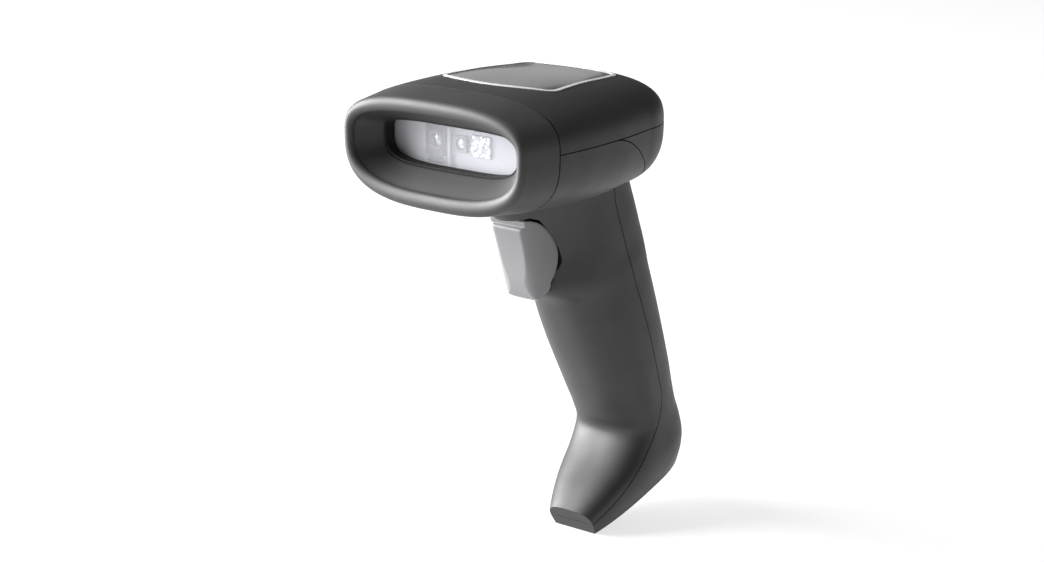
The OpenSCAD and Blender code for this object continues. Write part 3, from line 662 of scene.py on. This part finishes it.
def tongue_side():
    """Side outline of the trigger's front plate, in grip places."""
    r, top_r = TONGUE_LOW_R, TONGUE_TOP_R
    low = arc(TONGUE_V - r, TONGUE_BACK + r, r, -90, 20, 11)
    face = bend((47.4, TONGUE_FACE), (45.6, 34.1), (42, 34.1), 5)
    face += bend((41, 34.1), (34, TONGUE_FACE), (25, TONGUE_FACE), 12)
    top = arc(TONGUE_TOP + top_r, TONGUE_FACE - top_r, top_r, 90, 180, 6)
    return [(44, TONGUE_BACK)] + low + face + top + [(TONGUE_TOP, TONGUE_BACK)]


def cheek_side():
    """Side outline of a cheek: round below and behind, rising to its front corner."""
    v, q, r = CHEEK
    turns = [math.radians(a) for a in range(0, 121, 5)]
    rear = [(v + r * math.cos(t), q - r * math.sin(t)) for t in turns]
    upper = bend((27.4, 23.6), (24.9, 25.2), (21.8, TONGUE_BACK), 6)
    return rear + upper + [(20, 30.6), (19.8, 31.6), (20.6, q)]


def turned(outline, angle):
    """Outline in grip places, turned about the trigger's pivot."""
    c, s = math.cos(angle), math.sin(angle)
    pv, pq = PIVOT
    return [(pv + (v - pv) * c + (q - pq) * s, pq - (v - pv) * s + (q - pq) * c) for v, q in outline]


def grown(outline, gap):
    """Outline moved outward by gap, along the normal at each corner."""
    area = sum(a[0] * b[1] - b[0] * a[1] for a, b in zip(outline, outline[1:] + outline[:1]))
    side = math.copysign(gap, area)
    moved = []
    for i, (v, q) in enumerate(outline):
        before, after = outline[i - 1], outline[(i + 1) % len(outline)]
        dv, dq = after[0] - before[0], after[1] - before[1]
        size = math.hypot(dv, dq)
        moved.append((v + side * dq / size, q - side * dv / size))
    return moved


def block(v0, v1, q0, q1):
    """Side outline of a square-cornered block, in grip places."""
    return [(v0, q0), (v1, q0), (v1, q1), (v0, q1)]


def front_half():
    piece = copy_of(shell, "front")
    span = TRIGGER_HALF + CHEEK_GAP
    for spot in (grown(cheek_side(), CHEEK_GAP + WALL), circle(LIP)):
        wall = combine(copy_of(grip, "wall"), "INTERSECT", grip_prism("disc", spot, span + WALL))
        combine(piece, "UNION", wall)
    combine(piece, "INTERSECT", prism("ahead", front_outline(SEAM / 2), -60, 60))
    combine(piece, "DIFFERENCE", grip_prism("pocket", block(NECK_V, 46, 30, 50), span))
    for side in (tongue_side(), cheek_side()):
        for angle in (0, TRAVEL / 2, TRAVEL):
            combine(piece, "DIFFERENCE", grip_prism("sweep", turned(grown(side, CHEEK_GAP), angle), span))
    combine(piece, "DIFFERENCE",
            grip_prism("arm_slot", block(2, 26, 24.4, 32.4), ARM_HALF + SLOT_GAP),
            grip_prism("stem_slot", block(31, 41, 12, 24), STEM_HALF + SLOT_GAP))
    return soften(piece)


def rear_half():
    piece = copy_of(shell, "rear")
    combine(piece, "INTERSECT", box("below", (-60, 60), (20, 150), (-170, -SEAM / 2)))
    combine(piece, "DIFFERENCE", prism("ahead", front_outline(-SEAM / 2), -60, 60))
    for v in GRIP_SCREWS:
        combine(piece, "DIFFERENCE", grip_rod("hole", v, -30, -10, SCREW_SEAT_R))
    mouth = block(SOLE_V - 6, SOLE_V + 6, JACK_Q - 6, JACK_Q + 6)
    combine(piece, "DIFFERENCE", grip_prism("socket_mouth", mouth, JACK_HALF))
    return soften(piece)


def trigger():
    """Front plate with two round cheeks, hollow between, every edge softly rounded."""
    body = grip_prism("trigger_skin", tongue_side(), TRIGGER_HALF)
    cheeks = grip_prism("cheeks", cheek_side(), TRIGGER_HALF)
    hollow = grip_prism("hollow", block(5, 60, 5, 29.2), TRIGGER_HALF - CHEEK_T)
    combine(cheeks, "DIFFERENCE", hollow)
    combine(body, "UNION", cheeks)
    # lower corners, seen from the front, and front edges, seen from above
    r = TRIGGER_LOW_R
    low = [(TRIGGER_HALF, 0)] + arc(TRIGGER_HALF - r, TONGUE_V - r, r, 0, 90, 12)
    low += [(-x, v) for x, v in reversed(low)]
    combine(body, "INTERSECT", loft("front_view", [[grip_at(v, q, x) for x, v in low] for q in (10, 45)]))
    r = TRIGGER_PLAN_R
    plan = [(TRIGGER_HALF, 5)] + arc(TRIGGER_HALF - r, 27.2, r, 0, 90, 14)
    plan += [(-x, q) for x, q in reversed(plan)]
    combine(body, "INTERSECT", loft("plan_view", [[grip_at(v, q, x) for x, q in plan] for v in (5, 70)]))
    combine(body, "UNION", grip_prism("arm", block(7.2, 26, 25.6, 30.4), ARM_HALF),
            grip_prism("stem", block(34, 38, 14.25, 30), STEM_HALF))
    combine(body, "DIFFERENCE", grip_prism("bore", circle((*PIVOT, PIVOT_BORE), 32), 6))
    return soften(remesh(body, VOXEL, SMOOTH_ROUNDS), 60)


def label_parts():
    plate_piece = label_layer("label", label_outline(LIGHT_W + 0.05), LABEL_T)
    ring = label_layer("light", label_outline(0), LIGHT_T, LIGHT_RISE)
    combine(ring, "DIFFERENCE", plate("middle", label_outline(LIGHT_W), 0, 60))
    return soften(plate_piece, 40), soften(ring, 40)


dress(bezel(), "nose_bezel", "bezel_plastic")
dress(gasket(), "window_gasket", "gasket_foam")
dress(pane(), "scan_window", "window_glass")
dress(top_shell(), "top_cover", "shell_plastic")
dress(front_half(), "front_shell", "shell_plastic")
dress(rear_half(), "rear_cover", "shell_plastic")
dress(trigger(), "trigger", "trigger_plastic", "trigger")
label_piece, light_piece = label_parts()
dress(label_piece, "label_plate", "label_gloss")
dress(light_piece, "light_ring", "light_guide")
for tool in (head, grip, skin, inside, shell):
    bpy.data.objects.remove(tool)

# ---------- carried-over nodes ----------
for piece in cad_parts.values():
    for i, material in enumerate(piece.data.materials):
        slot = material.name.split(".")[0]
        if slot in FINISH:
            piece.data.materials[i] = FINISH[slot]

# ---------- stage ----------
# metres and watts
FLOOR_SIZE, FLOOR_Z, FLOOR_GLOW = 8, -0.0002, 0.72
FLOOR_TONE = 0.32
CAMERA_AT, CAMERA_TARGET = (472.04, -532.25, 151.12), (-27.01, 76.10, -62.04)   # design frame
LENS = 84.3
LAMP_TARGET = (0, 0, 0.09)
# name: position, size and power
LAMPS = {"left_bank": ((-1.1, -0.6, 0.45), (1.0, 1.1), 88),
         "back_bank": ((-1.35, 0.95, 0.5), (1.2, 0.5), 0.8),
         "top_bank": ((0.1, 0.2, 1.5), (1.4, 1.4), 5)}
SKY = 0.14

bpy.ops.mesh.primitive_plane_add(size=FLOOR_SIZE)
floor = bpy.context.object
floor.name = "floor"
floor.location.z = FLOOR_Z
floor_finish = Finish("floor_paper", (FLOOR_TONE, FLOOR_TONE, FLOOR_TONE), 0.9)
floor_finish.grain(1.5, 0.01, 0.2)
floor_finish.shader.inputs["Emission Color"].default_value = (1, 1, 1, 1)
floor_finish.shader.inputs["Emission Strength"].default_value = FLOOR_GLOW
floor.data.materials.append(floor_finish.material)



def aim(obj, target):
    obj.rotation_euler = (Vector(target) - obj.location).to_track_quat("-Z", "Y").to_euler()
    bpy.context.scene.collection.objects.link(obj)


def lamp(name, position, size, power):
    light = bpy.data.lights.new(name, "AREA")
    light.shape = "RECTANGLE"
    light.size, light.size_y = size
    light.energy = power
    obj = bpy.data.objects.new(name, light)
    obj.location = position
    aim(obj, LAMP_TARGET)


camera = bpy.data.objects.new("camera", bpy.data.cameras.new("camera"))
camera.location = place(CAMERA_AT)
camera.data.lens = LENS
aim(camera, place(CAMERA_TARGET))
bpy.context.scene.camera = camera
for name, (position, size, power) in LAMPS.items():
    lamp(name, position, size, power)
world = bpy.data.worlds.new("studio")
world.use_nodes = True
world.node_tree.nodes["Background"].inputs["Color"].default_value = (1, 1, 1, 1)
world.node_tree.nodes["Background"].inputs["Strength"].default_value = SKY
bpy.context.scene.world = world
bpy.context.scene.view_settings.view_transform = "Standard"

bpy.context.view_layer.update()
